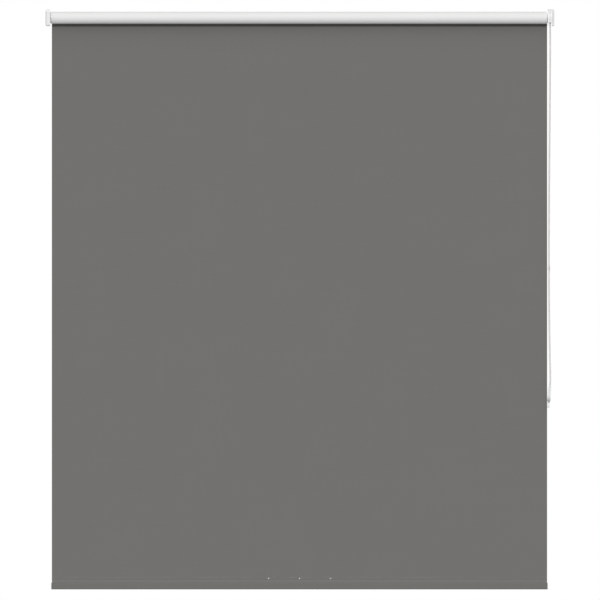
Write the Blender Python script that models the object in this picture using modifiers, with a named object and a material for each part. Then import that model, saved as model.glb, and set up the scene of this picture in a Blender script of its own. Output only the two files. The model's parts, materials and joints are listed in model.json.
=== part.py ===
"""A roller blind with a bead-chain drive, hung between two wall brackets.

X runs along the roller, Z up and Y back to the wall. The origin lies on the wall plane, halfway
between the brackets and level with the roller's axis. The blind is drawn right down, at rest.
"""

import math

import bmesh
import bpy
from mathutils import Matrix, Vector

MM = 0.001

sharp_angle = 35  # degrees between faces, above which an edge is shaded as a corner

# Clearances
face_gap = 0.3 * MM  # between pieces that touch on the real blind
running_gap = 0.5 * MM  # between pieces that turn on each other
chain_gap = 0.6 * MM  # between the chain and what it runs in

# The blind as a whole
overall_width = 1300 * MM
axis_to_wall = 26 * MM
axis_to_hem_bottom = 1460.6 * MM

# Bracket covers and brackets
cover_height = 43 * MM
cover_front = 22 * MM  # in front of the roller's axis
cover_wall = 1.6 * MM
idle_cover_width = 12.3 * MM
idle_cover_round = 5 * MM
drive_cover_width = 4.4 * MM
drive_cover_round = 3.4 * MM
bracket_sheet = 1.8 * MM
bracket_corner = 4.5 * MM
bracket_to_cover = 0.6 * MM
idle_bracket_inset = 10 * MM  # from the cover's outer face to the bracket's
drive_bracket_inset = 2.6 * MM
flange_reach = 18 * MM
flange_height = 28 * MM
flange_corner = 3 * MM
screw_hole = 5 * MM
screw_spacing = 15 * MM

# Chain guard, a shell in two halves round the chain wheel
guard_width = 12.1 * MM
guard_radius = 21.5 * MM
guard_rim = 1.6 * MM
guard_side = 1.4 * MM
guard_corner = 5 * MM
guard_mouth_top = 13 * MM  # the rim ends this far below the axis, where the chain comes out

# Roller tube and its fabric
idle_end_gap = 1.9 * MM  # between the bracket and the end plug's flange
drive_end_gap = 1.5 * MM  # between the tube and the chain guard
tube_radius = 13.8 * MM
tube_wall = 1.2 * MM
groove_width = 4.6 * MM
groove_depth = 2.2 * MM
fabric_thickness = 0.38 * MM
fabric_wraps = 4
spline_strip = 1.6 * MM

# Idle end plug with its sprung pin
plug_length = 30 * MM
plug_flange = 2.4 * MM
plug_flange_proud = 1.1 * MM  # past the tube's outside
pin_radius = 2.9 * MM
pin_reach = 9 * MM  # past the plug's flange
pin_travel = 8 * MM
pin_shoulder_radius = 3.9 * MM
pin_shoulder = 3 * MM
pin_tail_radius = 1.9 * MM
pin_tail = 9 * MM
pin_bore_spare = 6 * MM  # left beyond the pin when it is pressed right in
pin_cap_radius = 7 * MM
pin_cap = 1.6 * MM
pin_wire = 0.8 * MM
pin_spring_turns = 6

# Clutch on the drive side
spindle_radius = 4 * MM
spindle_base_radius = 10 * MM
spindle_base = 1 * MM
spindle_length = 48 * MM
clip_slot = 1.6 * MM
clip_thickness = 1 * MM
clip_radius = 6.5 * MM
clip_slot_radius = 3.1 * MM
lug_width = 5.4 * MM
lug_thickness = 2.4 * MM
lug_spacing = 14 * MM
drum_bore = 7.4 * MM
drum_end = 2 * MM
wrap_wire = 0.9 * MM
wrap_turns = 5
wrap_places = (11 * MM, 21 * MM)  # from the tube's end to each spring's near end
tang_reach = 1.2 * MM  # a wrap spring's ends stand this far out

# Chain, chain wheel and the tensioner hung in the loop
bead = 4.5 * MM
wheel_pitch_radius = 13.4 * MM
wheel_width = 6 * MM
wheel_lip = 0.9 * MM
wheel_hub_radius = 6.6 * MM
wheel_hub = 5.5 * MM  # into the drum, past the tube's end
pulley_pitch_radius = 9 * MM
pulley_width = 6 * MM
pulley_lip = 0.9 * MM
pulley_below_axis = 966 * MM
chain_drop_inset = 2.35 * MM  # the loop's lower end hangs this far inside the wheel's plane
tensioner_lean = 4  # degrees; its lower end hangs towards the fabric
tensioner_width = 8.6 * MM
tensioner_wall = 1 * MM
tensioner_top = 22 * MM  # above its pulley's axis
tensioner_tail = 30.7 * MM  # below it
tensioner_tail_width = 6 * MM
tensioner_tab = 5.6 * MM
tensioner_tab_front = 7.8 * MM  # below the axis, where the tab leaves the case in front
tensioner_tab_back = 4 * MM  # and at the back
tensioner_chamfer = 1.1 * MM
tensioner_hole = 3.6 * MM
tensioner_hole_below = 21.5 * MM
axle_radius = 1.5 * MM
connector_length = 10 * MM
connector_wall = 0.8 * MM
connector_below_axis = 640 * MM
chain_step = 38 * MM  # between the points of its route

# Hem
hem_pocket = 25 * MM
hem_weld = 6 * MM
hem_wall = 0.5 * MM
bar_height = 16.2 * MM
bar_thickness = 4.4 * MM
bar_wall = 1.1 * MM
bar_corner = 2 * MM
bar_inset = 3 * MM  # the bar stops this far inside the fabric's edge
cap_proud = 1.2 * MM
cap_height = 17 * MM
cap_thickness = 5 * MM
cap_corner = 2 * MM
cap_tongue = 12 * MM
rivet_head = 1.5 * MM
rivet_crown = 1 * MM
rivet_shank = 0.6 * MM
rivet_head_height = 0.6 * MM
rivet_spacing = 79 * MM

# Places that follow from the sizes above
axis_y = -axis_to_wall
left_end = -overall_width / 2
right_end = overall_width / 2
roll_radius = tube_radius + face_gap + fabric_wraps * fabric_thickness
idle_bracket_outer = left_end + idle_bracket_inset
idle_bracket_inner = idle_bracket_outer + bracket_sheet
drive_bracket_outer = right_end - drive_bracket_inset
drive_bracket_inner = drive_bracket_outer - bracket_sheet
guard_outer = drive_bracket_inner - face_gap
guard_inner = guard_outer - guard_width
wheel_plane = (guard_outer + guard_inner) / 2
chain_drop_plane = wheel_plane - chain_drop_inset
plug_outer = idle_bracket_inner + idle_end_gap
tube_left = plug_outer + plug_flange + face_gap
tube_right = guard_inner - drive_end_gap
fabric_middle = (tube_left + tube_right) / 2
tube_bore = tube_radius - tube_wall
plug_radius = tube_bore - face_gap
plug_flange_radius = tube_radius + plug_flange_proud
pin_bore = pin_shoulder + pin_tail + pin_travel + pin_bore_spare
sheet_y = axis_y + roll_radius + face_gap + fabric_thickness / 2
hem_top = -axis_to_hem_bottom + hem_pocket + hem_weld
pulley_z = -pulley_below_axis
connector_z = -connector_below_axis
tensioner_radius = pulley_pitch_radius + bead / 2 + chain_gap + tensioner_wall

parts = bpy.data.collections.new("roller_blind")
cutters = bpy.data.collections.new("cutters")


def clear_scene():
    for old in list(bpy.data.objects):
        bpy.data.objects.remove(old)
    for collection in (parts, cutters):
        bpy.context.scene.collection.children.link(collection)


def finish_of(name, colour, roughness, metallic=0.0):
    material = bpy.data.materials.new(name)
    material.use_nodes = True
    shader = material.node_tree.nodes["Principled BSDF"]
    shader.inputs["Base Color"].default_value = (*colour, 1)
    shader.inputs["Roughness"].default_value = roughness
    shader.inputs["Metallic"].default_value = metallic
    return material


white_plastic = finish_of("white_plastic", (0.82, 0.82, 0.83), 0.4)
white_acetal = finish_of("white_acetal", (0.75, 0.75, 0.73), 0.35)
grey_plastic = finish_of("grey_plastic", (0.14, 0.14, 0.135), 0.5)
white_steel = finish_of("white_steel", (0.8, 0.8, 0.8), 0.35)
bright_steel = finish_of("bright_steel", (0.6, 0.6, 0.6), 0.3, 1)
aluminium = finish_of("aluminium", (0.7, 0.7, 0.71), 0.35, 1)
grey_fabric = finish_of("grey_fabric", (0.165, 0.165, 0.16), 0.9)
white_fabric_back = finish_of("white_fabric_back", (0.8, 0.8, 0.79), 0.7)


# Outlines, as lists of (u, v)


def arc(radius, start, end, steps, centre=(0, 0)):
    """Points from one angle to the other, in degrees anticlockwise from +u."""
    angles = (math.radians(start + (end - start) * n / steps) for n in range(steps + 1))
    return [(centre[0] + radius * math.cos(a), centre[1] + radius * math.sin(a)) for a in angles]


def circle(radius, steps, centre=(0, 0)):
    return arc(radius, 0, 360, steps, centre)[:-1]


def rounded(u_low, v_low, u_high, v_high, radius, steps=3):
    """A rectangle with round corners."""
    corners = (
        (u_high - radius, v_low + radius, -90),
        (u_high - radius, v_high - radius, 0),
        (u_low + radius, v_high - radius, 90),
        (u_low + radius, v_low + radius, 180),
    )
    return [p for u, v, start in corners for p in arc(radius, start, start + 90, steps, (u, v))]


def keyed(radius, notch_width, notch_floor, steps=32):
    """A circle with a square notch at its top, whose floor is notch_floor from the centre."""
    half = math.degrees(math.asin(notch_width / 2 / radius))
    return arc(radius, 90 + half, 450 - half, steps) + [
        (notch_width / 2, notch_floor),
        (-notch_width / 2, notch_floor),
    ]


def arch(inset):
    """The chain guard's outline: round above the axis, straight below it, with two lower corners."""
    radius, corner = guard_radius - inset, guard_corner - inset
    low = -guard_radius + inset
    return (
        arc(radius, 0, 180, 16)
        + arc(corner, 180, 270, 3, (-radius + corner, low + corner))
        + arc(corner, 270, 360, 3, (radius - corner, low + corner))
    )


# Solids


def place(obj, material):
    parts.objects.link(obj)
    obj.data.materials.append(material)
    return obj


def smooth(mesh):
    mesh.shade_smooth()
    mesh.set_sharp_from_angle(angle=math.radians(sharp_angle))


def solid_from(obj):
    """The same object as a plain mesh, with a curve's loose caps joined to its sides."""
    graph = bpy.context.evaluated_depsgraph_get()
    mesh = bpy.data.meshes.new_from_object(obj.evaluated_get(graph))
    shape = bmesh.new()
    shape.from_mesh(mesh)
    bmesh.ops.remove_doubles(shape, verts=shape.verts, dist=0.001 * MM)
    shape.to_mesh(mesh)
    shape.free()
    smooth(mesh)
    name, matrix, owner = obj.name, obj.matrix_world.copy(), obj.users_collection[0]
    bpy.data.objects.remove(obj)
    made = bpy.data.objects.new(name, mesh)
    made.matrix_world = matrix
    owner.objects.link(made)
    return made


def extruded(name, material, loops, middle, thickness, turn):
    """Closed outlines, the later ones as holes, extruded by a thickness about their middle."""
    curve = bpy.data.curves.new(name, "CURVE")
    curve.dimensions = "2D"
    curve.fill_mode = "BOTH"
    curve.extrude = thickness / 2
    for loop in loops:
        spline = curve.splines.new("POLY")
        spline.points.add(len(loop) - 1)
        for point, (u, v) in zip(spline.points, loop):
            point.co = (u, v, 0, 1)
        spline.use_cyclic_u = True
    obj = place(bpy.data.objects.new(name, curve), material)
    obj.matrix_world = Matrix.Translation(middle) @ turn
    bpy.context.view_layer.update()
    return solid_from(obj)


along_x = Matrix(((0, 0, 1, 0), (1, 0, 0, 0), (0, 1, 0, 0), (0, 0, 0, 1)))
along_y = Matrix(((1, 0, 0, 0), (0, 0, -1, 0), (0, 1, 0, 0), (0, 0, 0, 1)))


def extruded_x(name, material, loops, x_low, x_high, centre=(axis_y, 0)):
    """Outlines in (y, z) from their centre, extruded from x_low to x_high."""
    middle = ((x_low + x_high) / 2, *centre)
    return extruded(name, material, loops, middle, x_high - x_low, along_x)


def extruded_y(name, material, loops, y_low, y_high):
    """Outlines in (x, z), extruded from y_low to y_high."""
    middle = (0, (y_low + y_high) / 2, 0)
    return extruded(name, material, loops, middle, y_high - y_low, along_y)


def turned(name, material, profile, centre=(axis_y, 0), hollow=False, steps=28):
    """A profile of (x, radius), from its +X end to its -X end on the outer side, turned about X."""
    mesh = bpy.data.meshes.new(name)
    shape = bmesh.new()
    points = [shape.verts.new((radius, 0, x)) for x, radius in profile]
    for first, second in zip(points, points[1:]):
        shape.edges.new((first, second))
    if hollow:
        shape.edges.new((points[-1], points[0]))
    shape.to_mesh(mesh)
    shape.free()
    obj = place(bpy.data.objects.new(name, mesh), material)
    obj.rotation_euler = (0, math.pi / 2, 0)
    obj.location = (0, *centre)
    screw = obj.modifiers.new("turn", "SCREW")
    screw.axis = "Z"
    screw.steps = screw.render_steps = steps
    screw.use_merge_vertices = True
    screw.merge_threshold = 0.001 * MM
    bpy.context.view_layer.update()
    return solid_from(obj)


def ring(name, material, x_low, x_high, inner, outer, centre=(axis_y, 0), steps=28):
    profile = [(x_high, inner), (x_high, outer), (x_low, outer), (x_low, inner)]
    return turned(name, material, profile, centre, hollow=True, steps=steps)


def box(name, material, low, high):
    mesh = bpy.data.meshes.new(name)
    shape = bmesh.new()
    bmesh.ops.create_cube(shape, size=1)
    sides = Vector(high) - Vector(low)
    bmesh.ops.scale(shape, vec=sides, verts=shape.verts)
    shape.to_mesh(mesh)
    shape.free()
    obj = place(bpy.data.objects.new(name, mesh), material)
    obj.location = (Vector(low) + Vector(high)) / 2
    return obj


def rod(name, material, x_low, x_high, radius, centre=(axis_y, 0), steps=24):
    profile = [(x_high, 0), (x_high, radius), (x_low, radius), (x_low, 0)]
    return turned(name, material, profile, centre, steps=steps)


def turn_to_wall(obj, location):
    """Turns a shape made along X to lie along Y, at its place."""
    turn = Matrix.Translation(location) @ Matrix.Rotation(math.pi / 2, 4, "Z")
    obj.matrix_world = turn @ obj.matrix_world


def helper(obj):
    """Puts a shape among the cutters, out of the render."""
    parts.objects.unlink(obj)
    cutters.objects.link(obj)
    obj.hide_render = True
    obj.display_type = "WIRE"
    return obj


def combine(obj, other, operation):
    step = obj.modifiers.new(operation.lower(), "BOOLEAN")
    step.operation = operation
    step.object = helper(other)
    return obj


def cut(obj, other):
    return combine(obj, other, "DIFFERENCE")


def join(obj, other):
    return combine(obj, other, "UNION")


def wire(name, material, points, radius, fine=2):
    """A round wire or cord along points, with flat ends."""
    curve = bpy.data.curves.new(name, "CURVE")
    curve.dimensions = "3D"
    curve.bevel_depth = radius
    curve.bevel_resolution = fine
    curve.use_fill_caps = True
    spline = curve.splines.new("POLY")
    spline.points.add(len(points) - 1)
    for point, position in zip(spline.points, points):
        point.co = (*position, 1)
    return place(bpy.data.objects.new(name, curve), material)


def joint_axis(name, location):
    """An empty on a joint's axis, for the pieces that move with it."""
    empty = bpy.data.objects.new(name, None)
    empty.empty_display_size = 20 * MM
    empty.location = location
    parts.objects.link(empty)
    return empty


def hang_on(empty, *pieces):
    bpy.context.view_layer.update()
    for piece in pieces:
        piece.parent = empty
        piece.matrix_parent_inverse = empty.matrix_world.inverted()


# Brackets and their covers


def bracket_cover(name, outer_x, inner_x, edge_round):
    """A clip-on cap, open towards the roller and the wall, rounded on its other edges."""
    low = Vector((min(outer_x, inner_x), axis_y - cover_front, -cover_height / 2))
    high = Vector((max(outer_x, inner_x), 0, cover_height / 2))
    obj = box(name, white_plastic, low, high)
    shape = bmesh.new()
    shape.from_mesh(obj.data)
    half = (high - low) / 2
    inward = half.x if inner_x > outer_x else -half.x

    def is_open(vertices):
        return all(abs(v.co.x - inward) < face_gap / 2 for v in vertices) or all(
            abs(v.co.y - half.y) < face_gap / 2 for v in vertices
        )

    edges = [e for e in shape.edges if not is_open(e.verts)]
    bmesh.ops.bevel(shape, geom=edges, offset=edge_round, segments=4, profile=0.5, affect="EDGES")
    open_faces = [f for f in shape.faces if is_open(f.verts)]
    bmesh.ops.delete(shape, geom=open_faces, context="FACES")
    shape.to_mesh(obj.data)
    shape.free()
    smooth(obj.data)
    wall = obj.modifiers.new("wall", "SOLIDIFY")
    wall.thickness = cover_wall
    wall.offset = -1
    wall.use_even_offset = True
    return obj


def bracket(name, x_low, x_high, flange_side, holes):
    """A pressed-steel angle: a cheek that carries the roller, and a flange on the wall."""
    front = -cover_front + cover_wall + bracket_to_cover
    half_height = cover_height / 2 - cover_wall - bracket_to_cover
    cheek = rounded(front, -half_height, axis_to_wall, half_height, bracket_corner)
    obj = extruded_x(name, white_steel, [cheek, *holes], x_low, x_high)
    flange_end = x_high + flange_reach if flange_side > 0 else x_low - flange_reach
    near = x_low if flange_side > 0 else x_high
    left, right = sorted((near, flange_end))
    foot = rounded(left, -flange_height / 2, right, flange_height / 2, flange_corner)
    hole_x = flange_end - flange_side * flange_reach / 2
    screws = [circle(screw_hole / 2, 16, (hole_x, side * screw_spacing / 2)) for side in (-1, 1)]
    return join(obj, extruded_y(name + "_foot", white_steel, [foot, *screws], -bracket_sheet, 0))


def lug_places():
    return [side * lug_spacing / 2 for side in (-1, 1)]


def lug_slots():
    reach, tall = lug_width / 2 + face_gap, lug_thickness / 2 + face_gap
    return [
        [(-reach, z - tall), (reach, z - tall), (reach, z + tall), (-reach, z + tall)]
        for z in lug_places()
    ]


def make_brackets():
    pin_hole = circle(pin_radius + face_gap, 20)
    bracket("idle_bracket", idle_bracket_outer, idle_bracket_inner, 1, [pin_hole])
    bracket("drive_bracket", drive_bracket_inner, drive_bracket_outer, -1, lug_slots())
    bracket_cover("idle_bracket_cover", left_end, left_end + idle_cover_width, idle_cover_round)
    bracket_cover("drive_bracket_cover", right_end, right_end - drive_cover_width, drive_cover_round)


# Chain guard and clutch


def guard_half(name, x_low, x_high, side_low, holes):
    """Half of the guard: a side wall and the rim above the mouth."""
    obj = extruded_x(name, white_plastic, [arch(0), *holes], side_low, side_low + guard_side)
    inner = guard_radius - guard_rim
    hood = (
        [(guard_radius, -guard_mouth_top)]
        + arc(guard_radius, 0, 180, 16)
        + [(-guard_radius, -guard_mouth_top), (-inner, -guard_mouth_top)]
        + arc(inner, 180, 0, 16)
        + [(inner, -guard_mouth_top)]
    )
    return join(obj, extruded_x(name + "_rim", white_plastic, [hood], x_low, x_high))


def grooved_rim(plane, pitch_radius, width, lip):
    """The rim of a wheel that the chain runs round: two lips with a half-round groove between."""
    groove = bead / 2 + chain_gap
    valley = [(plane + along, pitch_radius - deep) for along, deep in arc(groove, 0, 180, 6)]
    rim = [(plane + width / 2, pitch_radius - lip), (plane + groove, pitch_radius + lip), *valley]
    return rim + [(plane - groove, pitch_radius + lip), (plane - width / 2, pitch_radius - lip)]


def coil(x_start, x_end, radius, turns, per_turn):
    """Points of a helix about the roller's axis."""
    steps = turns * per_turn
    return [
        (
            x_start + (x_end - x_start) * n / steps,
            axis_y + radius * math.cos(2 * math.pi * n / per_turn),
            radius * math.sin(2 * math.pi * n / per_turn),
        )
        for n in range(steps + 1)
    ]


def make_clutch():
    split = wheel_plane - face_gap / 2
    hub_hole = circle(wheel_hub_radius + running_gap, 28)
    outer_side = guard_outer - guard_side
    guard_half("chain_guard_inner", guard_inner, split, guard_inner, [hub_hole])
    guard_half("chain_guard_outer", split + face_gap, guard_outer, outer_side, lug_slots())

    base_outer = outer_side - face_gap
    base_inner = base_outer - spindle_base
    spindle_end = base_outer - spindle_length
    slot_low = spindle_end + 2 * clip_slot
    profile = [
        (base_outer, 0),
        (base_outer, spindle_base_radius),
        (base_inner, spindle_base_radius),
        (base_inner, spindle_radius),
        (slot_low + clip_slot, spindle_radius),
        (slot_low + clip_slot, clip_slot_radius),
        (slot_low, clip_slot_radius),
        (slot_low, spindle_radius),
        (spindle_end, spindle_radius),
        (spindle_end, 0),
    ]
    spindle = turned("clutch_spindle", grey_plastic, profile)
    for number, z in enumerate(lug_places()):
        low = (base_inner + face_gap, axis_y - lug_width / 2, z - lug_thickness / 2)
        high = (drive_bracket_outer - face_gap, axis_y + lug_width / 2, z + lug_thickness / 2)
        join(spindle, box(f"clutch_lug_{number}", grey_plastic, low, high))

    # An open ring snapped into the spindle's slot, which holds the drum on
    clip_inner = clip_slot_radius + face_gap
    clip = arc(clip_radius, -60, 240, 20) + arc(clip_inner, 240, -60, 20)
    clip_low = slot_low + (clip_slot - clip_thickness) / 2
    extruded_x("spindle_clip", bright_steel, [clip], clip_low, clip_low + clip_thickness)

    bore = spindle_radius + face_gap
    drum_low = slot_low + clip_slot
    loops = [keyed_plug(), circle(drum_bore, 28)]
    drum = extruded_x("clutch_drum", white_acetal, loops, drum_low, tube_right)
    drum_end_x = drum_low + drum_end
    join(drum, ring("clutch_drum_end", white_acetal, drum_low, drum_end_x, bore, drum_bore + face_gap))

    for number, start in enumerate(wrap_places):
        near = tube_right - start
        length = wrap_turns * (wrap_wire + face_gap)
        turns = coil(near - length, near, bore + wrap_wire / 2, wrap_turns, 12)
        tang = Vector((0, tang_reach, 0))
        route = [Vector(turns[0]) + tang, *turns, Vector(turns[-1]) + tang]
        wire(f"wrap_spring_{'ab'[number]}", bright_steel, route, wrap_wire / 2)

    low = wheel_plane - wheel_width / 2
    hub_end = tube_right - wheel_hub
    profile = [
        (wheel_plane + wheel_width / 2, bore),
        *grooved_rim(wheel_plane, wheel_pitch_radius, wheel_width, wheel_lip),
        (low, wheel_hub_radius),
        (hub_end, wheel_hub_radius),
        (hub_end, bore),
    ]
    return drum, turned("chain_wheel", white_acetal, profile, hollow=True)


# Roller, its fabric and the idle end plug


def keyed_plug():
    """The outline of a plug that fills the tube, with a notch over the tube's groove."""
    floor = tube_radius - groove_depth - tube_wall - face_gap
    return keyed(plug_radius, groove_width + 2 * (tube_wall + face_gap), floor)


def make_roller():
    groove_floor = tube_radius - groove_depth
    outside = keyed(tube_radius, groove_width, groove_floor)
    inside = keyed(tube_bore, groove_width + 2 * tube_wall, groove_floor - tube_wall)
    tube = extruded_x("roller_tube", aluminium, [outside, inside], tube_left, tube_right)

    half = groove_width / 2 - face_gap
    strip_low = groove_floor + face_gap
    strip_outline = [(-half, strip_low), (half, strip_low)]
    strip_outline += [(half, strip_low + spline_strip), (-half, strip_low + spline_strip)]
    strip = extruded_x("fabric_spline", grey_plastic, [strip_outline], tube_left, tube_right)

    layers = (tube_left, tube_right, tube_radius + face_gap, roll_radius)
    wraps = ring("fabric_roll", white_fabric_back, *layers, steps=44)

    plug_end = tube_left + plug_length
    plug = extruded_x("idle_plug", white_acetal, [keyed_plug()], plug_outer + face_gap, plug_end)
    flange_end = plug_outer + plug_flange
    join(plug, rod("idle_plug_flange", white_acetal, plug_outer, flange_end, plug_flange_radius))
    bore = pin_shoulder_radius + running_gap
    cap_seat = plug_outer + pin_cap + face_gap
    bore_floor = cap_seat + pin_bore
    outside_plug = plug_outer - plug_flange
    seat_radius = pin_cap_radius + face_gap
    stepped = [(bore_floor, 0), (bore_floor, bore), (cap_seat, bore)]
    stepped += [(cap_seat, seat_radius), (outside_plug, seat_radius), (outside_plug, 0)]
    cut(plug, turned("pin_bore", white_acetal, stepped))
    cap_end = plug_outer + pin_cap
    hole = pin_radius + face_gap
    cap = ring("idle_plug_cap", white_acetal, plug_outer, cap_end, hole, pin_cap_radius)

    shoulder_right = cap_seat + pin_shoulder
    tip = plug_outer - pin_reach
    profile = [
        (shoulder_right + pin_tail, 0),
        (shoulder_right + pin_tail, pin_tail_radius),
        (shoulder_right, pin_tail_radius),
        (shoulder_right, pin_shoulder_radius),
        (cap_seat, pin_shoulder_radius),
        (cap_seat, pin_radius),
    ]
    nose = arc(pin_radius, 0, 60, 2)
    profile += [(tip + pin_radius - along, radius) for radius, along in nose]
    pin = turned("idle_pin", bright_steel, [*profile, (tip, 0)], steps=24)

    spring_radius = pin_tail_radius + running_gap + pin_wire / 2
    spring_left = shoulder_right + face_gap + pin_wire / 2
    spring_right = bore_floor - face_gap - pin_wire / 2
    turns = coil(spring_left, spring_right, spring_radius, pin_spring_turns, 10)
    spring = wire("idle_pin_spring", bright_steel, turns, pin_wire / 2)
    return tube, strip, wraps, plug, cap, spring, pin


# Hanging fabric and hem


def make_sheet():
    low = (tube_left, sheet_y - fabric_thickness / 2, hem_top + face_gap)
    high = (tube_right, sheet_y + fabric_thickness / 2, 0)
    return box("fabric_sheet", grey_fabric, low, high)


def pocket_outline(inset, apex):
    """The hem's pocket in (y, z) from the hem's bottom: round below, closing to a point or a weld."""
    half = bar_thickness / 2 + face_gap + hem_wall - inset
    shoulder = bar_height + face_gap + hem_wall
    bottom = arc(half, 180, 360, 8, (0, inset + half))
    return bottom + [(half, shoulder), *apex, (-half, shoulder)]


def make_hem():
    bottom = -axis_to_hem_bottom
    centre = (sheet_y, bottom)
    top = hem_pocket + hem_weld
    weld = [(hem_wall, hem_pocket), (hem_wall, top), (-hem_wall, top), (-hem_wall, hem_pocket)]
    outer = pocket_outline(0, weld)
    inner = pocket_outline(hem_wall, [(0, hem_pocket - 2 * hem_wall)])
    pocket = extruded_x("hem_pocket", grey_fabric, [outer, inner], tube_left, tube_right, centre)

    bar_low = hem_wall + face_gap
    half = bar_thickness / 2

    def bar_outline(inset):
        low, high = bar_low + inset, bar_low + bar_height - inset
        return rounded(-half + inset, low, half - inset, high, bar_corner - inset)

    loops = [bar_outline(0), bar_outline(bar_wall)]
    bar_left, bar_right = tube_left + bar_inset, tube_right - bar_inset
    pieces = [pocket, extruded_x("bottom_bar", aluminium, loops, bar_left, bar_right, centre)]

    # Each cap is a plate outside the fabric's edge, a neck through the pocket and a tongue in the bar
    plate = rounded(-cap_thickness / 2, 0, cap_thickness / 2, cap_height, cap_corner)
    neck, tongue = bar_outline(0), bar_outline(bar_wall + face_gap)
    for side, name in ((-1, "bottom_bar_cap_left"), (1, "bottom_bar_cap_right")):
        edge = tube_left if side < 0 else tube_right
        spans = (
            (name, plate, face_gap, face_gap + cap_proud),
            (name + "_neck", neck, -bar_inset + face_gap, 2 * face_gap),
            (name + "_tongue", tongue, -bar_inset - cap_tongue, -bar_inset + 2 * face_gap),
        )
        cap, *rest = [
            extruded_x(part, grey_plastic, [outline], *sorted((edge + side * a, edge + side * b)), centre)
            for part, outline, a, b in spans
        ]
        for piece in rest:
            join(cap, piece)
        pieces.append(cap)

    # Three small two-headed rivets through the welded band
    height = bottom + hem_pocket + hem_weld / 2
    face = hem_wall + face_gap
    crown = face + rivet_head_height
    profile = [(crown, 0), (crown, rivet_crown), (face, rivet_head), (face, rivet_shank)]
    profile += [(-x, radius) for x, radius in reversed(profile)]
    for number in range(3):
        x = fabric_middle + (number - 1) * rivet_spacing
        rivet = turned(f"hem_rivet_{number + 1}", white_acetal, profile, (0, 0), steps=12)
        size = (-crown, crown, rivet_shank + face_gap)
        hole = rod(f"rivet_hole_{number}", grey_fabric, *size, (0, 0), 12)
        for obj in (rivet, hole):
            turn_to_wall(obj, (x, sheet_y, height))
        cut(pocket, hole)
        pieces.append(rivet)
    return pieces


# Bead chain and its tensioner

# Chosen by hand, from the wheel down: how far the chain bows from the wheel's plane towards the
# fabric, and the share of the way to the pulley. The back strand bows a little less.
chain_bow = (
    (0, 0.05),
    (0.2 * MM, 0.13),
    (0.9 * MM, 0.24),
    (1.8 * MM, 0.36),
    (2.8 * MM, 0.49),
    (3.3 * MM, 0.61),
    (3 * MM, 0.72),
    (2 * MM, 0.82),
    (0.7 * MM, 0.90),
    (-0.4 * MM, 0.96),
)
back_strand_shift = 0.6 * MM


def wrapped(radius, x, z, start, end, steps):
    """Route points on a wheel, from one angle to the other."""
    return [Vector((x, y, z + v)) for y, v in arc(radius, start, end, steps, (axis_y, 0))]


def strand(side, shift):
    """Route points from the wheel down to the pulley, in front (-1) or at the back (1)."""
    points = []
    for bow, share in chain_bow:
        reach = wheel_pitch_radius + (pulley_pitch_radius - wheel_pitch_radius) * share
        points.append(Vector((wheel_plane - bow + shift, axis_y + side * reach, pulley_z * share)))
    return points


def leaning():
    """The turn about the pulley's centre that tips the tensioner's lower end towards the fabric."""
    centre = Matrix.Translation((chain_drop_plane, axis_y, pulley_z))
    return centre @ Matrix.Rotation(math.radians(tensioner_lean), 4, "Y") @ centre.inverted()


def through(points, spacing):
    """Points along a smooth curve through the given ones, a spacing apart."""
    found = []
    ends = [points[0] * 2 - points[1], *points, points[-1] * 2 - points[-2]]
    for a, b, c, d in zip(ends, ends[1:], ends[2:], ends[3:]):
        steps = max(1, round((c - b).length / spacing))
        rise, bend = (c - a) / 2, a - 2.5 * b + 2 * c - d / 2
        twist = (3 * (b - c) + d - a) / 2
        for n in range(steps):
            t = n / steps
            found.append(b + rise * t + bend * t**2 + twist * t**3)
    return [*found, points[-1]]


def make_chain():
    back, front = strand(1, back_strand_shift), strand(-1, 0)
    above = [p for p in back if p.z > connector_z]
    below = [p for p in back if p.z < connector_z]
    share = (connector_z - above[-1].z) / (below[0].z - above[-1].z)
    joint = above[-1].lerp(below[0], share)
    run = (below[0] - above[-1]).normalized()
    start, end = joint - run * face_gap / 2, joint + run * face_gap / 2
    lead = connector_length / 2
    lean = leaning()
    route = [start, start - run * lead, *reversed(above)]
    route += wrapped(wheel_pitch_radius, wheel_plane, 0, 0, 180, 8)
    route += front
    route += [lean @ p for p in wrapped(pulley_pitch_radius, chain_drop_plane, pulley_z, 180, 360, 6)]
    route += [*reversed(below), end + run * lead, end]
    chain = wire("bead_chain", white_acetal, through(route, chain_step), bead / 2)

    inside = bead / 2 + face_gap
    sleeve = (-lead, lead, inside, inside + connector_wall)
    connector = ring("chain_connector", white_acetal, *sleeve, (0, 0), steps=16)
    turn = Vector((1, 0, 0)).rotation_difference(run).to_matrix().to_4x4()
    connector.matrix_world = Matrix.Translation(joint) @ turn @ connector.matrix_world
    return chain, connector


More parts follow.
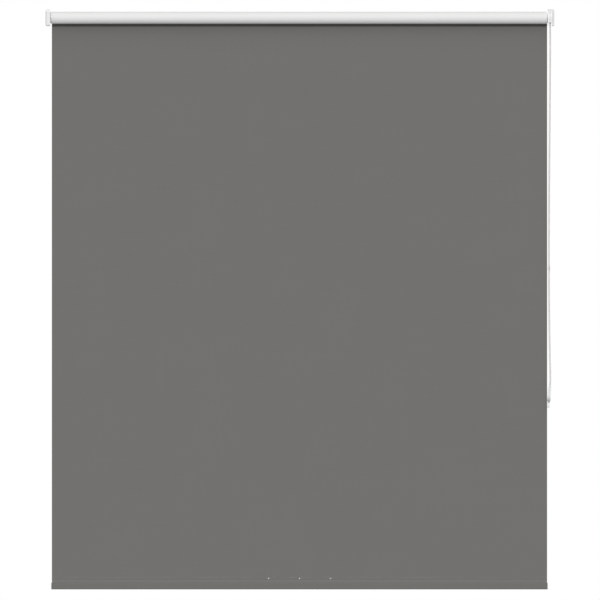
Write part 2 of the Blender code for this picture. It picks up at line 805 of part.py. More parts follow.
def tensioner_half(name, side):
    """Half of the tensioner: an open-topped case round the pulley, and a tab with a screw hole."""
    centre = (axis_y, pulley_z)
    radius, inner = tensioner_radius, tensioner_radius - tensioner_wall
    split = chain_drop_plane + side * face_gap / 2
    outer = chain_drop_plane + side * tensioner_width / 2
    tab_outer = chain_drop_plane + side * tensioner_tail_width / 2

    case = [(radius, tensioner_top), (-radius, tensioner_top)] + arc(radius, 180, 360, 14)
    obj = extruded_x(name, white_plastic, [case], *sorted((split, outer)), centre)

    front, foot = radius - tensioner_tab, -tensioner_tail
    tab = [
        (front, -tensioner_tab_front),
        (front, foot + tensioner_chamfer),
        (front + tensioner_chamfer, foot),
        (radius, foot),
        (radius, -tensioner_tab_back),
    ]
    tab_name = name + "_tab"
    join(obj, extruded_x(tab_name, white_plastic, [tab], *sorted((split, tab_outer)), centre))

    over = tensioner_top + bead
    room = [(inner, over), (-inner, over)] + arc(inner, 180, 360, 14)
    span = sorted((split - side * bead, outer - side * tensioner_wall))
    cut(obj, extruded_x(name + "_room", white_plastic, [room], *span, centre))
    span = sorted((split - side * bead, outer + side * bead))
    hole_radius = axle_radius + face_gap
    cut(obj, rod(name + "_axle_hole", white_plastic, *span, hole_radius, centre, 16))
    deep = 2 * tensioner_tab
    hole_radius = tensioner_hole / 2
    hole = rod(name + "_screw_hole", white_plastic, -deep, deep, hole_radius, (0, 0), 16)
    hole_y = axis_y + radius - tensioner_tab / 2
    turn_to_wall(hole, (chain_drop_plane, hole_y, pulley_z - tensioner_hole_below))
    return cut(obj, hole)


def make_tensioner():
    centre = (axis_y, pulley_z)
    case = [tensioner_half("tensioner_case_inner", -1), tensioner_half("tensioner_case_outer", 1)]
    reach = tensioner_width / 2 - face_gap
    ends = (chain_drop_plane - reach, chain_drop_plane + reach)
    axle = rod("tensioner_axle", bright_steel, *ends, axle_radius, centre, 16)

    bore = axle_radius + face_gap
    profile = [
        (chain_drop_plane + pulley_width / 2, bore),
        *grooved_rim(chain_drop_plane, pulley_pitch_radius, pulley_width, pulley_lip),
        (chain_drop_plane - pulley_width / 2, bore),
    ]
    pulley = turned("tensioner_pulley", white_acetal, profile, centre, hollow=True, steps=24)
    lean = leaning()
    tools = [step.object for half in case for step in half.modifiers]
    for obj in (*case, *tools, axle, pulley):
        obj.matrix_world = lean @ obj.matrix_world
    return [*case, axle], pulley


def build():
    clear_scene()
    make_brackets()
    drum, wheel = make_clutch()
    tube, strip, wraps, plug, cap, spring, pin = make_roller()
    sheet = make_sheet()
    hem = make_hem()
    chain, connector = make_chain()
    case, pulley = make_tensioner()

    roller_axis = joint_axis("roller_axis", (0, axis_y, 0))
    hang_on(roller_axis, tube, strip, wraps, plug, cap, spring, drum)
    hang_on(joint_axis("pin_slide_axis", (plug_outer, axis_y, 0)), pin)
    hang_on(joint_axis("chain_wheel_axis", (wheel_plane, axis_y, 0)), wheel)
    hang_on(joint_axis("chain_swing_axis", (wheel_plane, axis_y, 0)), chain, connector, *case)
    hang_on(joint_axis("pulley_axis", (chain_drop_plane, axis_y, pulley_z)), pulley)
    hang_on(joint_axis("sheet_swing_axis", (fabric_middle, sheet_y, 0)), sheet)
    hang_on(joint_axis("hem_slide_axis", (fabric_middle, sheet_y, -axis_to_hem_bottom)), *hem)


build()
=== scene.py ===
# %% [markdown]
# # A roller blind, piece by piece
# A roller blind is a cloth wound on a tube. The tube turns between two wall brackets: a sprung pin
# carries one end, and a clutch with a bead chain carries and drives the other. This lesson starts
# from the measured frame of the blind, and gives each visible piece its finished shape and
# surface.

import json
import math
from contextlib import contextmanager

import bmesh
import bpy
import numpy as np
from mathutils import Matrix, Vector


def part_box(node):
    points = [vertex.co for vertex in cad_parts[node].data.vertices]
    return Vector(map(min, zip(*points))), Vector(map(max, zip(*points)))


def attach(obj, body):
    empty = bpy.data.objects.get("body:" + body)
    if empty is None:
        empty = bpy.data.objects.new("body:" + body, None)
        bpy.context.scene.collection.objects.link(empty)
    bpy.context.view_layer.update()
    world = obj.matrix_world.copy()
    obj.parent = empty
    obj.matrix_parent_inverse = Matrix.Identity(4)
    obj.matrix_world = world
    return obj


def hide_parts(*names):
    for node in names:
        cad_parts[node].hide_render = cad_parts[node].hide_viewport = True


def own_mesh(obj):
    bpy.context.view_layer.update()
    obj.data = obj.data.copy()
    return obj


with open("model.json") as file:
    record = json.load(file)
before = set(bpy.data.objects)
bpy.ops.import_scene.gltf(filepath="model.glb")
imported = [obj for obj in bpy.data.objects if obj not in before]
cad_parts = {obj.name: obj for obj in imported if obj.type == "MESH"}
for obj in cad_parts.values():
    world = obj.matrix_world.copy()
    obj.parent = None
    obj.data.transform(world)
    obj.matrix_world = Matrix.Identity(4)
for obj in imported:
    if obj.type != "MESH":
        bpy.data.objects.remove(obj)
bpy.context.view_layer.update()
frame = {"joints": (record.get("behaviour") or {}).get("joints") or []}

# %% [markdown]
# Lengths read best in millimetres, so one factor turns them into Blender's metres. Places are
# taken from the frame itself: the box of a node says where the piece goes, so nothing has to be
# fitted.

# %% Places taken from the frame
MM = 0.001


def sides(node):
    """A node's lowest and highest corners."""
    low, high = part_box(node)
    return Vector(low), Vector(high)


def joint(name):
    """What the frame says about one joint."""
    return next(one for one in frame["joints"] if one["name"] == name)


roll_low, roll_high = sides("fabric_roll")
axis = ((roll_low.y + roll_high.y) / 2, (roll_low.z + roll_high.z) / 2)
cloth_low, cloth_high = sides("fabric_sheet")
cloth_y = (cloth_low.y + cloth_high.y) / 2
cloth_left, cloth_right = cloth_low.x, cloth_high.x
hem_low, hem_high = sides("hem_pocket")
print("roller axis y, z", [round(v, 4) for v in axis], "cloth plane y", round(cloth_y, 5))

# %% [markdown]
# ## Camera
# A blind on a wall is looked at straight on. A parallel camera keeps its long edges parallel, as a
# long lens from far away does. It is set first, because the hanging chain has to stay in its view.

# %% Camera
view = bpy.data.cameras.new("camera")
view.type = "ORTHO"
view.ortho_scale = 1.533
view.clip_end = 50
camera_right, camera_away, camera_height = 0.0004, 4, -0.7212
camera = bpy.data.objects.new("camera", view)
camera.location = (camera_right, -camera_away, camera_height)
camera.rotation_euler = (math.radians(90), 0, 0)
bpy.context.scene.collection.objects.link(camera)
bpy.context.scene.camera = camera
print("camera shows", view.ortho_scale, "m across")

# %% [markdown]
# ## One way to write materials
# A material is a small network of nodes. Writing it as sums is easier to read than a list of
# links, so a small class stands for one socket: arithmetic on it adds Math nodes, and `make` adds
# any other node from its type, its settings and what goes into its sockets.


# %% A socket that can be added and multiplied
class Wire:
    """One socket of a material. Arithmetic on it adds Math nodes to the same material."""

    def __init__(self, tree, socket=None):
        self.tree, self.socket = tree, socket

    def make(self, kind, settings=None, sockets=None, out=0):
        """Adds a node, sets it up, fills its sockets and gives one of its outputs."""
        node = self.tree.nodes.new(kind)
        for name, value in (settings or {}).items():
            setattr(node, name, value)
        for name, value in (sockets or {}).items():
            if isinstance(value, Wire):
                self.tree.links.new(value.socket, node.inputs[name])
            else:
                node.inputs[name].default_value = value
        return Wire(self.tree, node.outputs[out])

    def math(self, operation, first, second=0.0):
        return self.make("ShaderNodeMath", {"operation": operation}, {0: first, 1: second})

    def __add__(self, other):
        return self.math("ADD", self, other)

    def __rsub__(self, other):
        return self.math("SUBTRACT", other, self)

    def __mul__(self, other):
        return self.math("MULTIPLY", self, other)

    __radd__ = __add__


def noise(place, size, detail):
    """Cloudy variation whose blobs are about the given size in metres."""
    sockets = {"Vector": place, "Scale": 1 / size, "Detail": detail}
    return place.make("ShaderNodeTexNoise", None, sockets, "Fac")


def stretched(place, x, y, z):
    """The same place with its axes scaled, which draws a pattern out along the small ones."""
    return place.make("ShaderNodeMapping", None, {"Vector": place, "Scale": (x, y, z)})


def blend_colours(factor, first, second):
    """One colour where the factor is 0, the other where it is 1."""
    sockets = {0: factor, 6: (*first, 1), 7: (*second, 1)}
    return factor.make("ShaderNodeMix", {"data_type": "RGBA"}, sockets, 2)


def ready(name, roughness, metallic=0.0, **fixed):
    """A new material: its shader, a wire to work with, and the place on the object."""
    material = bpy.data.materials.new(name)
    material.use_nodes = True
    tree = material.node_tree
    shader = tree.nodes["Principled BSDF"]
    shader.inputs["Roughness"].default_value = roughness
    shader.inputs["Metallic"].default_value = metallic
    for socket, value in fixed.items():
        shader.inputs[socket.replace("_", " ")].default_value = value
    place = Wire(tree).make("ShaderNodeTexCoord", out="Object")
    return material, shader, place


def plug_in(shader, socket, wire):
    wire.tree.links.new(wire.socket, shader.inputs[socket])


def raise_by(height, distance, strength):
    """Turns a height from 0 to 1 into a bump of that many metres."""
    sockets = {"Height": height, "Distance": distance, "Strength": strength}
    return height.make("ShaderNodeBump", None, sockets)


# %% [markdown]
# ## Plastics
# The covers, the guard and the tensioner are moulded in a satin white plastic. Up close the tool's
# fine sparked texture shows, the colour drifts a little, and handled places are shinier. Beads and
# running parts are a smoother, waxier plastic that is barely textured.


# %% Moulded plastic
def moulded(name, colour, roughness, grain, depth):
    """A moulded plastic: a fine grain from the tool, slight colour drift and uneven gloss."""
    material, shader, place = ready(name, roughness, Specular_IOR_Level=0.45)
    drift = noise(place, 60 * MM, 3)
    flow = noise(stretched(place, 1, 1, 0.25), 9 * MM, 4)
    pale = tuple(min(1, c * 1.03) for c in colour)
    deep = tuple(c * 0.955 for c in colour)
    plug_in(shader, "Base Color", blend_colours(drift * 0.7 + flow * 0.3, deep, pale))
    plug_in(shader, "Roughness", flow * 0.16 + (roughness - 0.08))
    fine = noise(place, grain, 2)
    plug_in(shader, "Normal", raise_by(fine, depth, 0.6))
    return material


cover_plastic = moulded("cover_plastic", (0.80, 0.80, 0.805), 0.42, 0.4 * MM, 0.03 * MM)
bead_plastic = moulded("bead_plastic", (0.85, 0.85, 0.84), 0.3, 1.2 * MM, 0.006 * MM)
running_plastic = moulded("running_plastic", (0.72, 0.72, 0.70), 0.34, 0.8 * MM, 0.01 * MM)
cap_plastic = moulded("cap_plastic", (0.155, 0.155, 0.15), 0.5, 0.4 * MM, 0.014 * MM)
core_plastic = moulded("core_plastic", (0.13, 0.13, 0.125), 0.5, 0.4 * MM, 0.014 * MM)
print("plastics", [m.name for m in (cover_plastic, bead_plastic, running_plastic)])
print("dark plastics", [m.name for m in (cap_plastic, core_plastic)])

# %% [markdown]
# ## Metals
# The brackets are pressed steel under a white powder coat, which sets with a faint orange-peel
# surface. Springs, pins and clips are plain zinc-plated steel with fine draw marks. The tube and
# the hem bar are extruded aluminium, whose die leaves straight lines along the length.


# %% Coated steel, plated steel and aluminium
def powder_coat():
    material, shader, place = ready("powder_coat", 0.36, Specular_IOR_Level=0.5)
    drift = noise(place, 45 * MM, 2)
    plug_in(shader, "Base Color", blend_colours(drift, (0.76, 0.76, 0.765), (0.81, 0.81, 0.81)))
    plug_in(shader, "Roughness", noise(place, 6 * MM, 3) * 0.14 + 0.3)
    plug_in(shader, "Normal", raise_by(noise(place, 1.6 * MM, 1), 0.03 * MM, 0.5))
    return material


def drawn_metal(name, dark, bright, roughness, along):
    """A bare metal with marks drawn out along one axis."""
    material, shader, place = ready(name, roughness, 1.0)
    marks = noise(stretched(place, *along), 0.5 * MM, 3)
    cloud = noise(place, 18 * MM, 3)
    plug_in(shader, "Base Color", blend_colours(marks * 0.6 + cloud * 0.4, dark, bright))
    plug_in(shader, "Roughness", marks * 0.2 + (roughness - 0.1))
    plug_in(shader, "Normal", raise_by(marks, 0.01 * MM, 0.5))
    return material


coated_steel = powder_coat()
plated_steel = drawn_metal(
    "plated_steel", (0.50, 0.50, 0.49), (0.64, 0.64, 0.63), 0.32, (1, 0.06, 0.06)
)
extruded_aluminium = drawn_metal(
    "extruded_aluminium", (0.66, 0.66, 0.67), (0.76, 0.76, 0.77), 0.36, (0.01, 1, 1)
)
print("metals", coated_steel.name, plated_steel.name, extruded_aluminium.name)

# %% [markdown]
# ## Cloth
# The cloth is a plain weave of mid-grey polyester, closed on the back by a white coating. Two wave
# patterns at right angles make the threads: in every second crossing the warp lies on top, in the
# others the weft. Slow streaks along both directions stand for threads that vary in thickness.


# %% Woven front and coated back
thread = 0.42 * MM


def woven(name, where, dull, bright, rough, relief):
    """A plain weave laid out on two lengths, across and along the cloth."""
    material, shader, place = ready(name, rough, Specular_IOR_Level=0.25, Sheen_Weight=0.06)
    lay = place if where == "flat" else place.make("ShaderNodeUVMap", {"uv_map": "cloth"})
    across = lay.make("ShaderNodeSeparateXYZ", None, {0: lay}, "X")
    along = lay.make("ShaderNodeSeparateXYZ", None, {0: lay}, "Z" if where == "flat" else "Y")
    turn = math.pi / thread
    warp, weft = (across.math("SINE", v * turn) for v in (across, along))
    over = across.math("GREATER_THAN", warp * weft, 0.0)
    warp_height = across.math("ABSOLUTE", warp)
    weft_height = across.math("ABSOLUTE", weft)
    height = warp_height * over + weft_height * (1 - over)
    drawn_out = 0.004
    warp_scale = (1, 1, drawn_out) if where == "flat" else (1, drawn_out, 1)
    warp_streak = noise(stretched(lay, *warp_scale), 1.1 * MM, 2)
    weft_streak = noise(stretched(lay, drawn_out, 1, 1), 1.3 * MM, 2)
    cloud = noise(lay, 160 * MM, 2)
    tone = height * 0.25 + warp_streak * 0.3 + weft_streak * 0.3 + cloud * 0.15
    plug_in(shader, "Base Color", blend_colours(tone, dull, bright))
    plug_in(shader, "Roughness", tone * 0.1 + (rough - 0.05))
    threads = height + warp_streak * 0.5 + weft_streak * 0.5
    plug_in(shader, "Normal", raise_by(threads, relief, 0.5))
    return material


dull_grey, bright_grey = (0.1425, 0.140, 0.1335), (0.175, 0.172, 0.164)
grey_flat = woven("grey_weave_flat", "flat", dull_grey, bright_grey, 0.85, 0.05 * MM)
grey_fold = woven("grey_weave_fold", "uv", dull_grey, bright_grey, 0.85, 0.05 * MM)
dull_white, bright_white = (0.745, 0.745, 0.74), (0.795, 0.795, 0.79)
white_back = woven("white_coating", "uv", dull_white, bright_white, 0.6, 0.02 * MM)
cut_edge = woven("cut_edge", "uv", (0.34, 0.34, 0.335), (0.5, 0.5, 0.49), 0.9, 0.05 * MM)
print("cloth", grey_flat.name, grey_fold.name, white_back.name, cut_edge.name)

# %% [markdown]
# ## The chain
# The chain is a closed loop of round plastic beads, 6 mm apart on a thin cord, over the drive
# wheel and down to the tensioner. It is a cord of fixed length, so its route comes first: the same
# points as in the frame, one after the other round the loop, from the connector up and over and
# back.

# %% The chain's route
route_mm = [
    (636.69, -15.51, -639.85), (636.68, -15.49, -634.85), (636.55, -15.28, -589.26),
    (636.65, -15.13, -556.19), (636.82, -14.95, -515.3), (637.05, -14.76, -473.34),
    (637.35, -14.57, -431.84), (637.71, -14.37, -389.26), (638.05, -14.18, -347.76),
    (638.36, -14.0, -308.05), (638.67, -13.83, -269.41), (638.95, -13.66, -231.84),
    (639.22, -13.49, -194.63), (639.46, -13.32, -158.5), (639.65, -13.17, -125.58),
    (639.83, -12.98, -83.32), (639.85, -12.82, -48.3), (639.25, -12.6, 0.0),
    (639.25, -13.62, 5.13), (639.25, -16.52, 9.48), (639.25, -20.87, 12.38),
    (639.25, -26.0, 13.4), (639.25, -31.13, 12.38), (639.25, -35.48, 9.48),
    (639.25, -38.38, 5.13), (639.25, -39.4, 0.0), (639.25, -39.18, -48.3),
    (639.19, -39.02, -83.32), (639.05, -38.83, -125.58), (638.86, -38.68, -158.5),
    (638.62, -38.51, -194.63), (638.35, -38.34, -231.84), (638.07, -38.17, -269.41),
    (637.76, -38.0, -308.05), (637.45, -37.82, -347.76), (637.11, -37.63, -389.26),
    (636.75, -37.43, -431.84), (636.45, -37.24, -473.34), (636.22, -37.06, -513.05),
    (636.04, -36.89, -551.69), (635.95, -36.72, -589.26), (635.96, -36.55, -625.75),
    (636.07, -36.39, -661.17), (636.25, -36.23, -695.52), (636.52, -36.08, -729.15),
    (636.87, -35.93, -761.71), (637.25, -35.79, -792.12), (637.89, -35.61, -833.18),
    (638.55, -35.44, -869.4), (639.35, -35.3, -900.8), (639.65, -35.18, -927.36),
    (636.9, -35.0, -966.0), (636.59, -33.79, -970.49), (636.36, -30.5, -973.78),
    (636.27, -26.0, -974.98), (636.36, -21.5, -973.78), (636.59, -18.21, -970.49),
    (636.9, -17.0, -966.0), (640.25, -16.82, -927.36), (639.99, -16.7, -900.8),
    (639.15, -16.56, -869.4), (638.49, -16.39, -833.18), (637.85, -16.21, -792.12),
    (637.46, -16.06, -759.64), (637.11, -15.9, -725.01), (636.85, -15.77, -695.52),
    (636.71, -15.54, -645.15), (636.69, -15.52, -640.15),
]
route = np.array(route_mm) * MM
steps = np.linalg.norm(np.diff(route, axis=0), axis=1)
reached = np.concatenate([[0], np.cumsum(steps)])
chain_length = float(reached[-1])
print("chain length", round(chain_length, 4), "m in", len(route), "points")


def along_route(distance):
    """The point that far along the loop."""
    return Vector(np.interp(distance, reached, route[:, k]) for k in range(3))


def stand_on_route(distance):
    """The place that far along the loop, turned so that Z runs on along it."""
    onward = along_route(min(distance + MM, chain_length)) - along_route(max(distance - MM, 0))
    onward.normalize()
    sideways = (Vector((1, 0, 0)) - onward * onward.x).normalized()
    turn = Matrix((sideways, onward.cross(sideways), onward)).transposed()
    return Matrix.Translation(along_route(distance)) @ turn.to_4x4()


# %% [markdown]
# ## Helpers for work by hand
# Modelling with operators means selecting, changing to edit mode, doing one step, and changing
# back. These helpers hold that routine. Points, edges and faces are picked by their place, and
# `shaping` opens a piece in edit mode for a few lines and always closes it again.


# %% Selecting and shaping
def clear_selection():
    if bpy.context.object and bpy.context.object.mode != "OBJECT":
        bpy.ops.object.mode_set(mode="OBJECT")
    bpy.ops.object.select_all(action="DESELECT")


def work_on(piece):
    clear_selection()
    piece.select_set(True)
    bpy.context.view_layer.objects.active = piece


@contextmanager
def shaping(piece):
    """Edit mode on one piece for as long as the indented lines last."""
    work_on(piece)
    bpy.ops.object.mode_set(mode="EDIT")
    yield
    bpy.ops.object.mode_set(mode="OBJECT")


def started(name):
    """Names the primitive just added and moves its place into its mesh."""
    bpy.ops.object.transform_apply(location=True, rotation=True, scale=True)
    piece = bpy.context.object
    piece.name = piece.data.name = name
    return piece


def pick(kind, test):
    """In edit mode, selects the points, edges or faces whose middle and corners pass a test."""
    bpy.ops.mesh.select_mode(type=kind)
    bpy.ops.mesh.select_all(action="DESELECT")
    shape = bmesh.from_edit_mesh(bpy.context.edit_object.data)
    items = {"VERT": shape.verts, "EDGE": shape.edges, "FACE": shape.faces}[kind]
    for item in items:
        corners = [item] if kind == "VERT" else list(item.verts)
        middle = sum((v.co for v in corners), Vector()) / len(corners)
        if test(middle, [v.co for v in corners]):
            item.select_set(True)
    shape.select_flush_mode()
    bmesh.update_edit_mesh(bpy.context.edit_object.data)


# %% Applying, closing and finishing
def applied(piece, kind, **settings):
    """Adds a modifier, sets it up and applies it."""
    work_on(piece)
    step = piece.modifiers.new(kind.lower(), kind)
    for name, value in settings.items():
        setattr(step, name, value)
    bpy.ops.object.modifier_apply(modifier=step.name)


def outward(piece):
    """Merges doubled points, then turns every face outwards."""
    with shaping(piece):
        bpy.ops.mesh.select_all(action="SELECT")
        bpy.ops.mesh.remove_doubles(threshold=0.002 * MM)
        bpy.ops.mesh.normals_make_consistent(inside=False)
    return piece


def smoothed(piece, angle=35):
    work_on(piece)
    bpy.ops.object.shade_smooth_by_angle(angle=math.radians(angle))


def finished(piece, material, body, node):
    """Gives a piece its finish, the body it moves with and the node it stands for."""
    if not piece.data.materials:
        piece.data.materials.append(material)
    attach(piece, body)
    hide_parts(node)
    size = [round(v / MM, 1) for v in piece.dimensions]
    print(piece.name, size, "mm,", len(piece.data.polygons), "faces")


# %% [markdown]
# ## Beads on their cord
# One bead is modelled and copied. It starts as a sphere primitive with few faces, because the loop
# has more than three hundred of them, and its poles are pushed in a little where the cord enters.

# %% One bead
bead_size = 4.5 * MM
bead_spacing = 6 * MM
cord_size = 1.2 * MM

clear_selection()
bpy.ops.mesh.primitive_uv_sphere_add(segments=12, ring_count=7, radius=bead_size / 2)
bead = started("one_bead")
with shaping(bead):
    pick("VERT", lambda middle, corners: abs(middle.z) > 0.495 * bead_size)
    bpy.ops.transform.resize(value=(1, 1, 0.93))
print("one bead has", len(bead.data.polygons), "faces")

# %% [markdown]
# Three hundred objects would be slow to handle, so the copies are gathered in one mesh. Each is
# turned to its own stretch of the loop. The cord between them is a thin tube: a ring of points at
# every bead and halfway between two, joined ring to ring.

# %% Beads and cord along the loop
bead_count = round(chain_length / bead_spacing)
chain_shape = bmesh.new()
for number in range(bead_count):
    first = len(chain_shape.verts)
    chain_shape.from_mesh(bead.data)
    chain_shape.verts.ensure_lookup_table()
    place = stand_on_route((number + 0.5) * chain_length / bead_count)
    bmesh.ops.transform(chain_shape, matrix=place, verts=chain_shape.verts[first:])

rim_sides = 8
rim_angles = [2 * math.pi * k / rim_sides for k in range(rim_sides)]
rim = [Vector((math.cos(a), math.sin(a), 0)) * cord_size / 2 for a in rim_angles]
rows = []
for number in range(bead_count * 2 + 1):
    place = stand_on_route(number * chain_length / (bead_count * 2))
    rows.append([chain_shape.verts.new(place @ corner) for corner in rim])
for here, there in zip(rows, rows[1:]):
    for k in range(rim_sides):
        m = (k + 1) % rim_sides
        chain_shape.faces.new((here[k], here[m], there[m], there[k]))
chain_shape.faces.new(list(reversed(rows[0])))
chain_shape.faces.new(rows[-1])
chain_mesh = bpy.data.meshes.new("chain_of_beads")
chain_shape.to_mesh(chain_mesh)
chain_shape.free()
bpy.data.objects.remove(bead)

chain = bpy.data.objects.new("chain_of_beads", chain_mesh)
bpy.context.scene.collection.objects.link(chain)
smoothed(chain, 80)
finished(chain, bead_plastic, "chain_loop", "bead_chain")
print(bead_count, "beads,", round(chain_length / bead_count / MM, 3), "mm apart")

# %% [markdown]
# ## Turned pieces and the connector
# The ends of the cord are joined by a small connector: a capsule that snaps over the two last
# beads. It is turned like work on a lathe: one point is drawn along half of the outline, then spun
# round.


# %% Turned pieces
def turned(name, profile, centre, around):
    """An outline of (x, radius), drawn point by point and spun round an axis along X."""
    clear_selection()
    bpy.ops.mesh.primitive_plane_add(size=MM)
    piece = started(name)
    with shaping(piece):
        bpy.ops.mesh.select_mode(type="VERT")
        bpy.ops.mesh.select_all(action="SELECT")
        bpy.ops.mesh.merge(type="CENTER")
        first_x, first_radius = profile[0]
        bpy.ops.transform.translate(value=(first_x, centre[0], centre[1] + first_radius))
        for (x0, r0), (x1, r1) in zip(profile, profile[1:]):
            move = {"value": (x1 - x0, 0, r1 - r0)}
            bpy.ops.mesh.extrude_region_move(TRANSFORM_OT_translate=move)
        bpy.ops.mesh.select_all(action="SELECT")
        bpy.ops.mesh.spin(steps=around, angle=2 * math.pi, center=(0, *centre), axis=(1, 0, 0))
    return outward(piece)


def round_over(x, radius, size, from_angle, to_angle, steps):
    """Points of a rounded edge about (x, radius), angles measured from +X towards larger radius."""
    span = np.radians(np.linspace(from_angle, to_angle, steps + 1))
    return [(x + size * math.cos(a), radius + size * math.sin(a)) for a in span]


# %% Chain connector
def lie_along(piece, spot, direction):
    """Turns a piece made along X at the origin to a direction, and puts it at its place."""
    turn = Vector((1, 0, 0)).rotation_difference(direction).to_matrix().to_4x4()
    piece.data.transform(Matrix.Translation(spot) @ turn)
    piece.data.update()


sleeve_low, sleeve_high = sides("chain_connector")
sleeve_place = (sleeve_low + sleeve_high) / 2
half = (sleeve_high.z - sleeve_low.z) / 2
bore, waist, belly = 1.3 * MM, 2.75 * MM, 3.3 * MM
outline = [(half, bore), (half, waist - 0.5 * MM)]
outline += [(half - 0.5 * MM, waist), (half * 0.55, belly), (0.4 * MM, belly)]
outline += [(0.25 * MM, belly - 0.3 * MM), (-0.25 * MM, belly - 0.3 * MM), (-0.4 * MM, belly)]
outline += [(-half * 0.55, belly), (-half + 0.5 * MM, waist), (-half, waist - 0.5 * MM)]
outline += [(-half, bore), (half, bore)]
connector = turned("bead_connector", outline, (0, 0), 28)
lie_along(connector, sleeve_place, along_route(5 * MM) - along_route(0))
smoothed(connector)
finished(connector, bead_plastic, "chain_loop", "chain_connector")

# %% [markdown]
# ## Blocks, rods and cuts
# Every moulded or pressed piece starts as a cube or a cylinder of its full size. Its corners are
# rounded in edit mode, holes are cut with a second shape, and a last small bevel breaks the sharp
# edges, because real edges always catch a thin line of light.


# %% Blocks, rods and cuts
def block(name, corner, opposite):
    """A cube primitive between two opposite corners, whichever of them is lower."""
    clear_selection()
    corner, opposite = Vector(corner), Vector(opposite)
    size = [abs(v) for v in opposite - corner]
    bpy.ops.mesh.primitive_cube_add(size=1, location=(corner + opposite) / 2, scale=size)
    return started(name)


def rod(name, start, end, radius, count=48):
    """A cylinder primitive from one point to another."""
    clear_selection()
    start, end = Vector(start), Vector(end)
    turn = Vector((0, 0, 1)).rotation_difference(end - start).to_euler()
    bpy.ops.mesh.primitive_cylinder_add(
        vertices=count,
        radius=radius,
        depth=(end - start).length,
        location=(start + end) / 2,
        rotation=turn,
    )
    return started(name)


def carve(piece, tool, operation="DIFFERENCE"):
    """Cuts one shape out of another, or joins them, and clears the tool away."""
    applied(piece, "BOOLEAN", operation=operation, solver="EXACT", object=tool)
    bpy.data.objects.remove(tool)
    return piece


def softened(piece, width, segments=2):
    """Rounds the sharp edges a little and keeps the flat faces flat to the light."""
    outward(piece)
    limit = math.radians(38)
    applied(piece, "BEVEL", width=width, segments=segments, limit_method="ANGLE", angle_limit=limit)
    smoothed(piece, 40)
    applied(piece, "WEIGHTED_NORMAL", keep_sharp=True, weight=80)


def corners_rounded(piece, size, count, test):
    """Rounds the edges along X whose middle passes a test."""
    with shaping(piece):
        pick("EDGE", lambda middle, ends: abs(ends[0].x - ends[1].x) > 0.5 * MM and test(middle))
        bpy.ops.mesh.bevel(offset=size, segments=count, affect="EDGES")
    return piece


# %% [markdown]
# ## Bracket covers
# Each bracket hides under a clip-on cap that is open to the wall and to the roller. It could be
# assembled from plates, but a moulded cap is one skin: so a cube is rounded, its two open sides
# are deleted, and the skin is given its wall thickness.

# %% Bracket covers
cover_wall = 1.6 * MM


def bracket_cover(name, node, open_side, edge_round):
    """A cap that is open towards the wall and towards open_side along X."""
    low, high = sides(node)
    open_x = high.x if open_side > 0 else low.x
    cover = block(name, low, high)

    def is_open(corners):
        at_roller = all(abs(c.x - open_x) < 0.1 * MM for c in corners)
        return at_roller or all(abs(c.y - high.y) < 0.1 * MM for c in corners)

    with shaping(cover):
        pick("EDGE", lambda middle, corners: not is_open(corners))
        bpy.ops.mesh.bevel(offset=edge_round, segments=8, affect="EDGES")
        pick("FACE", lambda middle, corners: is_open(corners))
        bpy.ops.mesh.delete(type="FACE")
    outward(cover)
    applied(cover, "SOLIDIFY", thickness=cover_wall, offset=-1, use_even_offset=True)
    softened(cover, 0.2 * MM)
    finished(cover, cover_plastic, "root", node)


bracket_cover("left_cover", "idle_bracket_cover", 1, 5 * MM)
bracket_cover("right_cover", "drive_bracket_cover", -1, 3.4 * MM)

# %% [markdown]
# ## Wall brackets
# A bracket is a bent strip of steel: a cheek that carries the roller, and a flange that is screwed
# to the wall. The bend has a small radius inside, and the holes are punched, so their edges are
# only slightly rolled. Cheek and flange are joined first, then the bend and the holes are made.

# %% Wall brackets
steel, flange_half, bend = 1.8 * MM, 14 * MM, 1.2 * MM
screw_radius, screw_height, screw_inset = 2.5 * MM, 7.5 * MM, 9 * MM


def wall_bracket(name, node, flange_side):
    """A pressed angle whose flange reaches towards flange_side along X."""
    low, high = sides(node)
    cheek_near, flange_end = (low.x, high.x) if flange_side > 0 else (high.x, low.x)
    cheek_far = cheek_near + flange_side * steel
    bracket = block(name, (cheek_near, low.y, low.z), (cheek_far, high.y, high.z))
    corners_rounded(bracket, 4.5 * MM, 6, lambda middle: True)
    flange_start = (cheek_near + flange_side * steel / 2, -steel, -flange_half)
    flange = block("flange", flange_start, (flange_end, 0, flange_half))

    def at_corner(middle, ends):
        return abs(ends[0].y - ends[1].y) > MM and abs(middle.x - flange_end) < 0.1 * MM

    with shaping(flange):
        pick("EDGE", at_corner)
        bpy.ops.mesh.bevel(offset=3 * MM, segments=5, affect="EDGES")
    carve(bracket, flange, "UNION")

    def in_bend(middle, ends):
        near = abs(middle.x - cheek_far) < 0.05 * MM and abs(middle.y + steel) < 0.05 * MM
        return near and abs(ends[0].z - ends[1].z) > 10 * MM

    with shaping(bracket):
        pick("EDGE", in_bend)
        bpy.ops.mesh.bevel(offset=bend, segments=4, affect="EDGES")
    hole_x = flange_end - flange_side * screw_inset
    for z in (-screw_height, screw_height):
        punch = rod("punch", (hole_x, -8 * MM, z), (hole_x, 8 * MM, z), screw_radius, 32)
        carve(bracket, punch)
    return bracket


# %% [markdown]
# The left cheek has one round hole for the sprung pin. The right one has two slots for the
# clutch's lugs, which keep it from turning with the tube.

# %% Left bracket, with the pin's hole
left_bracket = wall_bracket("left_bracket", "idle_bracket", 1)
cheek_x = sides("idle_bracket")[0].x
pin_way = ((cheek_x - MM, *axis), (cheek_x + steel + MM, *axis))
carve(left_bracket, rod("pin_way", *pin_way, 3.2 * MM, 40))
softened(left_bracket, 0.25 * MM)
finished(left_bracket, coated_steel, "root", "idle_bracket")

# %% Right bracket, with the lugs' slots
lug_half, lug_tall, lug_places = 3 * MM, 1.5 * MM, (-7 * MM, 7 * MM)


